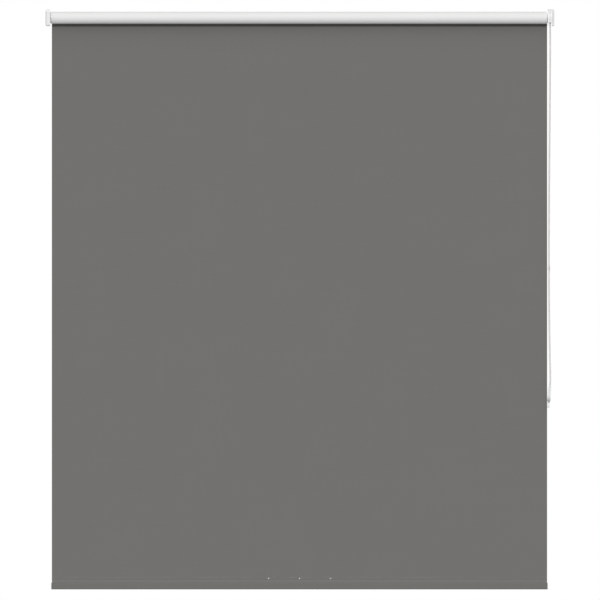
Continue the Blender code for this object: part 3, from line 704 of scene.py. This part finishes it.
def lug_slots(piece, node):
    """Two slots through a piece's outer wall for the clutch's lugs, above and below the axis."""
    wall = sides(node)[1].x
    for z in lug_places:
        low = (wall - steel - 0.1 * MM, axis[0] - lug_half, z - lug_tall)
        carve(piece, block("slot", low, (wall + MM, axis[0] + lug_half, z + lug_tall)))


right_bracket = wall_bracket("right_bracket", "drive_bracket", -1)
lug_slots(right_bracket, "drive_bracket")
softened(right_bracket, 0.25 * MM)
finished(right_bracket, coated_steel, "root", "drive_bracket")

# %% [markdown]
# ## Chain guard
# The guard is a round hood over the drive wheel, moulded in two halves that meet in the wheel's
# plane. Rounding the two upper edges of a block by half its depth makes the arch. The hollow and
# the mouth below it, where the chain comes out, could be cut one after the other, but two cuts
# that end on the same plane leave slivers. So a smaller arch and a box are joined, and cut out as
# one.

# %% Chain guard
guard_rim, guard_side, mouth = 1.6 * MM, 1.4 * MM, -13 * MM


def guard_half(name, node, open_side):
    """Half of the guard, hollow towards open_side along X and open below."""
    low, high = sides(node)
    open_x, shut_x = (high.x, low.x) if open_side > 0 else (low.x, high.x)
    half = block(name, low, high)
    arch = (high.y - low.y) / 2
    corners_rounded(half, arch, 20, lambda middle: middle.z > 0)
    corners_rounded(half, 5 * MM, 6, lambda middle: middle.z < low.z + 0.1 * MM)
    inner_x, outer_x = shut_x + open_side * guard_side, open_x + open_side * 5 * MM
    hollow = block(
        "hollow",
        (inner_x, low.y + guard_rim, mouth - 5 * MM),
        (outer_x, high.y - guard_rim, high.z - guard_rim),
    )
    corners_rounded(hollow, arch - guard_rim, 20, lambda middle: middle.z > 0)
    mouth_low = (inner_x, low.y - 5 * MM, low.z - 5 * MM)
    carve(hollow, block("mouth", mouth_low, (outer_x, high.y + 5 * MM, mouth)), "UNION")
    return carve(half, hollow)


inner_guard = guard_half("inner_guard", "chain_guard_inner", 1)
guard_wall = sides("chain_guard_inner")[0].x
hub_way = ((guard_wall - 2 * MM, *axis), (guard_wall + 3 * MM, *axis))
carve(inner_guard, rod("hub_way", *hub_way, 7.1 * MM))
softened(inner_guard, 0.3 * MM)
finished(inner_guard, cover_plastic, "root", "chain_guard_inner")

outer_guard = guard_half("outer_guard", "chain_guard_outer", -1)
lug_slots(outer_guard, "chain_guard_outer")
softened(outer_guard, 0.3 * MM)
finished(outer_guard, cover_plastic, "root", "chain_guard_outer")

# %% [markdown]
# ## Drive wheel
# The chain runs in a round groove, and each bead settles over its own shallow cup in the groove's
# floor. The wheel is turned, then fourteen balls, a little larger than a bead, are cut out of the
# floor. The cups start at a real bead's place, so the chain and the wheel agree.

# %% Turning the wheel
wheel_low, wheel_high = sides("chain_wheel")
top_of_loop = route[route[:, 2].argmax()]
wheel_x, pitch = top_of_loop[0], 13.4 * MM
rim_half, lip_top, shoulder = wheel_high.x - wheel_x, pitch + 0.9 * MM, pitch - 0.9 * MM
hub_radius, wheel_bore = 6.6 * MM, 4.3 * MM
groove = 2.85 * MM
outline = [(wheel_high.x, wheel_bore), (wheel_high.x, shoulder), (wheel_x + groove, lip_top)]
outline += round_over(wheel_x, pitch, groove, 0, -180, 12)
outline += [
    (wheel_x - groove, lip_top), (wheel_x - rim_half, shoulder),
    (wheel_x - rim_half, hub_radius), (wheel_low.x, hub_radius), (wheel_low.x, wheel_bore),
    (wheel_high.x, wheel_bore),
]
drive_wheel = turned("drive_wheel", outline, axis, 84)
print("groove floor", round((pitch - groove) / MM, 2), "mm from the axis")

# %% [markdown]
# A ball is placed where the bead in the middle of the wheel's upper half lies, and spun into a
# ring of fourteen.

# %% Cups for the beads
on_wheel = []
for number in range(bead_count):
    spot = along_route((number + 0.5) * chain_length / bead_count)
    if spot.z > 0:
        on_wheel.append(math.atan2(spot.z - axis[1], spot.y - axis[0]))
first_bead = sorted(on_wheel)[len(on_wheel) // 2]
clear_selection()
cup_radius, cup_out = 2.7 * MM, pitch - 0.85 * MM
cup_y = axis[0] + cup_out * math.cos(first_bead)
cup_z = axis[1] + cup_out * math.sin(first_bead)
bpy.ops.mesh.primitive_uv_sphere_add(
    segments=20, ring_count=12, radius=cup_radius, location=(wheel_x, cup_y, cup_z)
)
pockets = started("pockets")
cup_count = 14
ring = {"angle": 2 * math.pi, "center": (wheel_x, *axis), "axis": (1, 0, 0)}
with shaping(pockets):
    bpy.ops.mesh.select_all(action="SELECT")
    bpy.ops.mesh.spin(steps=cup_count, dupli=True, **ring)
outward(pockets)
carve(drive_wheel, pockets)
softened(drive_wheel, 0.12 * MM)
finished(drive_wheel, running_plastic, "chain_wheel", "chain_wheel")
print(len(on_wheel), "beads on the wheel")

# %% [markdown]
# ## Idle end: plug, pin and spring
# The plug pushed into the tube's left end carries a steel pin on a spring. Pressed in, the pin
# lets the roller be lifted out of its bracket. Plug and pin are turned. The spring is a small
# circle swept by a Screw modifier, which gives an even pitch that drawing by hand would not.

# %% End plug
plug_low, plug_high = sides("idle_plug")
flange_radius, flange_thick, body_radius = (plug_high.z - plug_low.z) / 2, 2.4 * MM, 12.3 * MM
outline = [
    (plug_low.x, 0), (plug_low.x, flange_radius), (plug_low.x + flange_thick, flange_radius),
    (plug_low.x + flange_thick, body_radius), (plug_high.x, body_radius), (plug_high.x, 0),
]
end_plug = turned("end_plug", outline, axis, 72)
key_half, key_floor, key_top = 3.8 * MM, 10.1 * MM, 14.5 * MM
key_low = (plug_low.x + flange_thick, axis[0] - key_half, axis[1] + key_floor)
key_high = (plug_high.x + MM, axis[0] + key_half, axis[1] + key_top)
carve(end_plug, block("key_way", key_low, key_high))
cap_seat, pin_bore = (1.9 * MM, 7.3 * MM), (27.9 * MM, 4.4 * MM)
for depth, radius in (cap_seat, pin_bore):
    way = ((plug_low.x - 2 * MM, *axis), (plug_low.x + depth, *axis))
    carve(end_plug, rod("pin_way", *way, radius, 56))
softened(end_plug, 0.3 * MM)
finished(end_plug, running_plastic, "roller", "idle_plug")

# %% Pin
pin_low, pin_high = sides("idle_pin")
pin_radius, shoulder_radius, tail_radius = 2.9 * MM, (pin_high.z - pin_low.z) / 2, 1.9 * MM
nose, shoulder_start, shoulder_end = 2 * MM, pin_low.x + 10.9 * MM, pin_low.x + 13.9 * MM
outline = [(pin_low.x, 0), (pin_low.x, pin_radius - nose)]
outline += round_over(pin_low.x + nose, pin_radius - nose, nose, 180, 90, 6)[1:]
outline += [
    (shoulder_start, pin_radius), (shoulder_start, shoulder_radius),
    (shoulder_end, shoulder_radius), (shoulder_end, tail_radius),
    (pin_high.x, tail_radius), (pin_high.x, 0),
]
pin = turned("end_pin", outline, axis, 40)
softened(pin, 0.15 * MM)
finished(pin, plated_steel, "idle_pin", "idle_pin")

# %% Spring
spring_low, spring_high = sides("idle_pin_spring")
spring_wire = 0.8 * MM
spring_radius = (spring_high.y - spring_low.y) / 2 - spring_wire / 2
spring_long, coils = spring_high.x - spring_low.x, 6
clear_selection()
bpy.ops.mesh.primitive_circle_add(
    vertices=12,
    radius=spring_wire / 2,
    location=(spring_low.x + spring_wire / 2, 0, spring_radius),
    rotation=(math.pi / 2, 0, 0),
)
spring = started("pin_spring")
coil = {"axis": "X", "angle": 2 * math.pi, "steps": 30, "render_steps": 30}
rise = (spring_long - spring_wire) / coils
applied(spring, "SCREW", **coil, screw_offset=rise, iterations=coils)
with shaping(spring):
    bpy.ops.mesh.select_mode(type="EDGE")
    bpy.ops.mesh.select_all(action="DESELECT")
    bpy.ops.mesh.select_non_manifold()
    bpy.ops.mesh.edge_face_add()
    bpy.ops.mesh.select_all(action="SELECT")
    bpy.ops.transform.translate(value=(0, *axis))
smoothed(outward(spring), 60)
finished(spring, plated_steel, "roller", "idle_pin_spring")
pressed = joint("pin_slide")["range_m"][1]
(spring_long - pressed) / spring_long
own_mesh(spring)

# %% [markdown]
# ## Bar caps and rivets
# Each end of the hem bar has a small grey cap: a rounded plate outside the cloth, on a tongue that
# sits in the bar. Three small rivets fix the weld at the middle. One rivet is turned with a low
# dome on both sides, and copied, each copy with a mesh of its own.


# %% Bar caps
def bar_cap(name, node, outer_side):
    """A cap whose plate faces outer_side along X."""
    low, high = sides(node)
    face = high.x if outer_side > 0 else low.x
    plate = 1.2 * MM
    cap = block(name, (face, low.y, low.z), (face - outer_side * plate, high.y, high.z))
    corners_rounded(cap, 2 * MM, 6, lambda middle: True)
    middle_y, base = (low.y + high.y) / 2, low.z
    neck, tongue = (2.1, 1, 16.8, 3.9), (0.8, 2.3, 15.5, 16.5)
    for half_y, bottom, top, reach in (neck, tongue):
        start = (face - outer_side * plate / 2, middle_y - half_y * MM, base + bottom * MM)
        end = (face - outer_side * reach * MM, middle_y + half_y * MM, base + top * MM)
        carve(cap, block("step", start, end), "UNION")
    softened(cap, 0.35 * MM, 3)
    finished(cap, cap_plastic, "hem", node)


bar_cap("left_bar_cap", "bottom_bar_cap_left", -1)
bar_cap("right_bar_cap", "bottom_bar_cap_right", 1)

# %% Rivets
rivet_low, rivet_high = sides("hem_rivet_1")
reach, head = (rivet_high.y - rivet_low.y) / 2, (rivet_high.z - rivet_low.z) / 2
seat, shank = 0.45 * MM, 0.6 * MM
dome = [(-reach, 0), (-reach + 0.08 * MM, head * 0.45), (-reach + 0.28 * MM, head * 0.8)]
dome += [(-reach + 0.5 * MM, head * 0.97), (-seat - 0.15 * MM, head), (-seat, head - 0.1 * MM)]
outline = [*dome, (-seat, shank)]
outline += [(-x, radius) for x, radius in reversed(outline)]
rivet = turned("weld_rivet_1", outline, (0, 0), 24)
lie_along(rivet, (rivet_low + rivet_high) / 2, Vector((0, 1, 0)))
smoothed(rivet, 50)
rivets = [rivet]
for number in (2, 3):
    step = sides(f"hem_rivet_{number}")[0] - rivet_low
    work_on(rivet)
    bpy.ops.object.duplicate_move(TRANSFORM_OT_translate={"value": step})
    rivets.append(started(f"weld_rivet_{number}"))
for number, piece in enumerate(rivets, 1):
    finished(piece, bead_plastic, "hem", f"hem_rivet_{number}")

# %% [markdown]
# ## Chain tensioner
# The loop's lower end runs round a small pulley in a case with a screw tab. It leans with the
# chain, so it is modelled upright and tipped afterwards, about the pulley's centre. The case is
# the guard's idea again: a block rounded below, hollowed by a smaller copy of itself.

# %% Where the tensioner hangs
pulley_turn = joint("pulley_turn")
pulley_centre = Vector(pulley_turn["pos_m"])
tip = Vector((1, 0, 0)).rotation_difference(Vector(pulley_turn["axis"])).to_matrix().to_4x4()
lean = Matrix.Translation(pulley_centre) @ tip @ Matrix.Translation(-pulley_centre)
case_low, case_high = sides("tensioner_case_inner")
case_radius = (case_high.y - case_low.y) / 2
case_half, case_wall, parting = 4.3 * MM, 1 * MM, 0.15 * MM
case_top, case_foot, tab_half, tab_deep = 22 * MM, 30.7 * MM, 3 * MM, 5.6 * MM
tab_top, screw_drop, hole_radius = 6 * MM, 21.5 * MM, 1.8 * MM
print("pulley at", [round(v, 4) for v in pulley_centre])


# %% Tensioner case
def rounded_case(name, side, near, far, radius, top):
    """A block beside the pulley's plane, rounded below about the pulley."""
    start = pulley_centre + Vector((side * near, -radius, -radius))
    case = block(name, start, pulley_centre + Vector((side * far, radius, top)))
    return corners_rounded(case, radius, 16, lambda middle: middle.z < pulley_centre.z)


def case_half_piece(name, side, node):
    case = outward(rounded_case(name, side, parting, case_half, case_radius, case_top))
    back, front_edge = pulley_centre.y + case_radius, pulley_centre.y + case_radius - MM
    lower_half = pulley_centre.z - 14 * MM
    tab_start = pulley_centre + Vector((side * parting, case_radius - tab_deep, -case_foot))
    tab_end = pulley_centre + Vector((side * tab_half, case_radius, -tab_top))
    tab = block("tab", tab_start, tab_end)
    corners_rounded(tab, 1.1 * MM, 4, lambda at: at.y < front_edge and at.z < lower_half)
    carve(case, tab, "UNION")
    inside = (-5 * MM, case_half - case_wall, case_radius - case_wall, case_top + 5 * MM)
    carve(case, outward(rounded_case("room", side, *inside)))
    span = [(pulley_centre.x + v, pulley_centre.y, pulley_centre.z) for v in (-8 * MM, 8 * MM)]
    carve(case, rod("axle_way", *span, hole_radius, 32))
    hole_z = pulley_centre.z - screw_drop
    drill = [(pulley_centre.x, back - tab_deep / 2 + v, hole_z) for v in (-6 * MM, 6 * MM)]
    carve(case, rod("screw_way", *drill, hole_radius, 32))
    softened(case, 0.3 * MM)
    case.data.transform(lean)
    finished(case, cover_plastic, "chain_loop", node)


case_half_piece("tensioner_left_half", -1, "tensioner_case_inner")
case_half_piece("tensioner_right_half", 1, "tensioner_case_outer")

# %% Tensioner pulley
pulley_pitch, half_wide, lip_out = 9 * MM, 3 * MM, 2.85 * MM
lip_top, shoulder, x = pulley_pitch + 0.9 * MM, pulley_pitch - 0.9 * MM, pulley_centre.x
outline = [(x + half_wide, hole_radius), (x + half_wide, shoulder), (x + lip_out, lip_top)]
outline += round_over(x, pulley_pitch, 2.8 * MM, 0, -180, 12)
outline += [(x - lip_out, lip_top), (x - half_wide, shoulder), (x - half_wide, hole_radius)]
outline += [(x + half_wide, hole_radius)]
small_pulley = turned("small_pulley", outline, (pulley_centre.y, pulley_centre.z), 56)
smoothed(small_pulley)
small_pulley.data.transform(lean)
finished(small_pulley, running_plastic, "tensioner_pulley", "tensioner_pulley")

# %% [markdown]
# ## Finishes for the pieces that stay
# The tube, the bar and the parts inside the clutch already have their true shapes in the frame.
# They only take their finishes.

# %% Finishes for the pieces that stay
stays = {
    "roller_tube": extruded_aluminium,
    "bottom_bar": extruded_aluminium,
    "fabric_spline": core_plastic,
    "clutch_spindle": core_plastic,
    "clutch_drum": running_plastic,
    "idle_plug_cap": running_plastic,
    "spindle_clip": plated_steel,
    "wrap_spring_a": plated_steel,
    "wrap_spring_b": plated_steel,
    "tensioner_axle": plated_steel,
}
for node, material in stays.items():
    bpy.data.objects[node].material_slots[0].material = material
print("kept from the frame:", ", ".join(stays))

# %% [markdown]
# ## Cloth on the roll, hanging, and round the bar
# It is one length of cloth: wound round the tube, straight down off the back of the roll, and
# folded up round the hem bar. So one helper lays a strip of cloth along a path seen from the side.
# Its grey face is on the left of the path as it runs down the back, its coated face on the right,
# and its cut edges show a little of both.


# %% A strip of cloth along a path
cloth_thick = cloth_high.y - cloth_low.y


def cloth_strip(name, path, columns, lift=None):
    """Cloth from edge to edge along a path of (y, z), with lift(x, z) moving it off its plane."""
    points = np.array(path, float)
    run = np.gradient(points, axis=0)
    run /= np.linalg.norm(run, axis=1)[:, None]
    face = np.column_stack([run[:, 1], -run[:, 0]])
    length = np.concatenate([[0], np.cumsum(np.linalg.norm(np.diff(points, axis=0), axis=1))])
    across = np.linspace(cloth_left, cloth_right, columns + 1)
    rows, wide = len(points), columns + 1
    grid = np.zeros((2, rows, wide, 3))
    for layer, side in enumerate((0.5, -0.5)):
        line = points + face * side * cloth_thick
        grid[layer, :, :, 0] = across
        grid[layer, :, :, 1] = line[:, :1]
        grid[layer, :, :, 2] = line[:, 1:]
    if lift:
        off = np.array([[lift(x, z) for x in across] for z in points[:, 1]])
        grid[:, :, :, 1] += off

    def number(layer, i, j):
        return layer * rows * wide + i * wide + j

    faces, kinds = [], []
    for i in range(rows - 1):
        for j in range(columns):
            square = [(i, j), (i + 1, j), (i + 1, j + 1), (i, j + 1)]
            faces.append([number(0, *c) for c in square])
            faces.append([number(1, *c) for c in reversed(square)])
            kinds += [0, 1]
    border = [(i, 0) for i in range(rows)] + [(rows - 1, j) for j in range(1, wide)]
    border += [(i, columns) for i in range(rows - 2, -1, -1)]
    border += [(0, j) for j in range(columns - 1, 0, -1)]
    for here, there in zip(border, border[1:] + border[:1]):
        faces.append([number(0, *there), number(0, *here), number(1, *here), number(1, *there)])
        kinds.append(2)
    mesh = bpy.data.meshes.new(name)
    mesh.from_pydata(grid.reshape(-1, 3).tolist(), [], faces)
    mesh.polygons.foreach_set("material_index", kinds)
    flat = np.empty((2, rows, wide, 2))
    flat[..., 0] = across
    flat[..., 1] = length[:, None]
    flat = flat.reshape(-1, 2)
    layer = mesh.uv_layers.new(name="cloth")
    corners = np.empty(len(mesh.loops), int)
    mesh.loops.foreach_get("vertex_index", corners)
    layer.data.foreach_set("uv", flat[corners].ravel())
    mesh.update()
    piece = bpy.data.objects.new(name, mesh)
    bpy.context.scene.collection.objects.link(piece)
    print(name, "cloth", round(cloth_right - cloth_left, 4), "x", round(float(length[-1]), 4), "m")
    return piece, float(length[-1])


def cloth_finish(piece, front, body, node):
    for material in (front, white_back, cut_edge):
        piece.data.materials.append(material)
    smoothed(piece, 40)
    finished(piece, front, body, node)


# %% [markdown]
# The roll shows its outer turns only, so almost three are wound. Each lies one thickness inside
# the next, and the last quarter turn lifts away to where the cloth hangs down.

# %% The cloth on the roll
hang_radius = cloth_y - axis[0]
outer_layer = (roll_high.z - roll_low.z) / 2 - cloth_thick / 2
slack, end_gap = 0.2 * MM, 0.06 * MM
last_angle = (slack + end_gap) / hang_radius
steps_per_turn, wound_steps, leaving = 60, 170, 14
wound = []
for number in range(wound_steps, -1, -1):
    a = max(2 * math.pi * number / steps_per_turn, last_angle)
    lifted = max(0, 1 - number / leaving) ** 2 * (hang_radius - outer_layer)
    radius = outer_layer - cloth_thick * number / steps_per_turn + lifted
    wound.append((axis[0] + radius * math.cos(a), axis[1] - slack + radius * math.sin(a)))
roll, roll_length = cloth_strip("wound_cloth", wound, 10)
cloth_finish(roll, grey_fold, "roller", "fabric_roll")

# %% [markdown]
# The hanging part is stretched by the bar, so it is nearly flat. Real cloth still shows a breath
# of unevenness, here half a millimetre that fades out towards the roll, the hem and both edges.
# The share of the drop that is left when the hem rises its full travel is worked out too.

# %% The hanging cloth
drop = cloth_high.z - hem_high.z - 0.05 * MM


def unevenness(x, z):
    down = min(1, max(0, -z / drop))
    across = (x - cloth_left) / (cloth_right - cloth_left)
    fade = math.sin(math.pi * down) * math.sin(math.pi * across)
    waves = math.sin(13 * across + 2 * down) + 0.6 * math.sin(29 * across - 3 * down + 1)
    return 0.3 * MM * fade * waves


hang_rows, hang_columns = 70, 56
hang = [(cloth_y, cloth_high.z - drop * k / hang_rows) for k in range(hang_rows + 1)]
sheet, sheet_length = cloth_strip("hanging_cloth", hang, hang_columns, unevenness)
cloth_finish(sheet, grey_flat, "hanging_fabric", "fabric_sheet")
travel = joint("hem_lift")["range_m"][1]
left_over = (drop - travel) / drop
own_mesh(sheet)
print("hem travel", travel, "m, sheet keeps", round(left_over, 4))

# %% [markdown]
# The hem is the end of the same cloth: down the front of the bar, round under it, and up the back
# to a band where both layers are heat-welded. The weld presses two fine lines into the front.

# %% The hem
foot = hem_low.z
bar_half = (hem_high.y - hem_low.y) / 2 - cloth_thick / 2
tall = (hem_high.z - hem_low.z) / MM
weld_low, round_centre, under_half = 25, 3.0, 2.47
front_side = [
    (0, tall), (0, tall - 0.4), (0.14, tall - 0.8), (0.14, tall - 1.2), (0, tall - 1.6),
    (0, tall - 2.4), (0, tall - 3.2), (0, tall - 4), (0, weld_low + 0.9), (0.14, weld_low + 0.5),
    (0.12, weld_low + 0.1), (-0.12, weld_low - 0.4), (-0.6, weld_low - 1.2),
    (-1.25, weld_low - 2.1), (-1.85, weld_low - 3.1), (-2.35, weld_low - 4.3),
    (-2.66, weld_low - 5.6), (-2.79, weld_low - 7), (-bar_half / MM, weld_low - 8.5),
    (-bar_half / MM, 14), (-bar_half / MM, 10.5),
    (-2.7, 9), (-2.58, 7.6), (-2.5, 6), (-under_half, 4.5),
]
under = [
    (under_half * math.cos(a), round_centre + (round_centre - 0.2) * math.sin(a))
    for a in np.radians(np.linspace(180, 360, 17))
]
back_shift = cloth_thick / MM + 0.02
back_side = [(2.5, 5.5), (2.66, 8), (bar_half / MM, 10.5), (bar_half / MM, 14)]
back_side += [(bar_half / MM, weld_low - 8.5), (2.79, weld_low - 7), (2.66, weld_low - 5.6)]
back_side += [(2.4, weld_low - 4.3), (1.95, weld_low - 3.1), (1.4, weld_low - 2.1)]
back_side += [(0.85, weld_low - 1.2), (0.5, weld_low - 0.4), (back_shift, weld_low + 0.3)]
back_side += [(back_shift, z) for z in (weld_low + 1.5, weld_low + 3, weld_low + 4.5, tall)]
fold = [(cloth_y + y * MM, foot + z * MM) for y, z in front_side + under + back_side]
hem, hem_length = cloth_strip("folded_hem", fold, 40)
cloth_finish(hem, grey_fold, "hem", "hem_pocket")

# %% [markdown]
# ## Light and floor
# A blind is a large flat thing, so its light has to be the same at the top and at the bottom. Two
# suns do that: a nearly frontal one, whose soft-edged shadow falls just below the roll, and a wide
# one from above that stands for a soft box. Two weak ones behind keep the sides and the back
# clear. The world alone fills the shadows, so the floor can be pale without lighting the roll from
# below.

# %% Studio light
world = bpy.data.worlds.new("studio")
bpy.context.scene.world = world
world.use_nodes = True
sky = Wire(world.node_tree)
background = world.node_tree.nodes["Background"]
background.inputs["Color"].default_value = (1, 1, 1, 1)
direction = sky.make("ShaderNodeTexCoord", out="Generated")
height = sky.make("ShaderNodeSeparateXYZ", None, {0: direction}, "Z")
steep = sky.math("ABSOLUTE", height)
above = sky.math("GREATER_THAN", height, 0.0)
seen = sky.make("ShaderNodeLightPath", out="Is Camera Ray")
horizon_glow, up_glow, down_glow = 0.11, 0.3, 0.62
glow = horizon_glow + steep * (down_glow + above * (up_glow - down_glow))
plug_in(background, "Strength", seen + (1 - seen) * glow)


def sun(name, elevation, swing, size, strength):
    """A sun at an elevation, swung to one side, with a soft disc of the given size, in degrees."""
    light = bpy.data.lights.new(name, "SUN")
    light.energy, light.angle = strength, math.radians(size)
    lamp = bpy.data.objects.new(name, light)
    lamp.rotation_euler = (math.radians(90 - elevation), 0, math.radians(swing))
    bpy.context.scene.collection.objects.link(lamp)


sun("front_light", 21, -4, 8, 1.72)
sun("soft_box", 48, 6, 45, 0.87)
for side, swing in (("left", 130), ("right", -130)):
    sun(f"back_light_{side}", 15, swing, 20, 1.1)
print("four suns and a soft world")

# %% Floor
floor_size, floor_height = 14, -1.9
clear_selection()
bpy.ops.mesh.primitive_plane_add(size=floor_size, location=(0, 0, floor_height))
floor = started("floor")
floor_material, floor_shader, floor_place = ready("floor_paint", 0.8)
floor_cloud = noise(floor_place, 0.6, 2)
floor_tone = blend_colours(floor_cloud, (0.78, 0.78, 0.78), (0.81, 0.81, 0.81))
plug_in(floor_shader, "Base Color", floor_tone)
floor.data.materials.append(floor_material)
floor.visible_diffuse = False

bpy.context.scene.view_settings.view_transform = "Standard"
print("floor", floor_size, "m wide at", floor_height)

# %% [markdown]
# ## Finish
# The finished model has to fill the frame's own box.

# %% Finish
clear_selection()
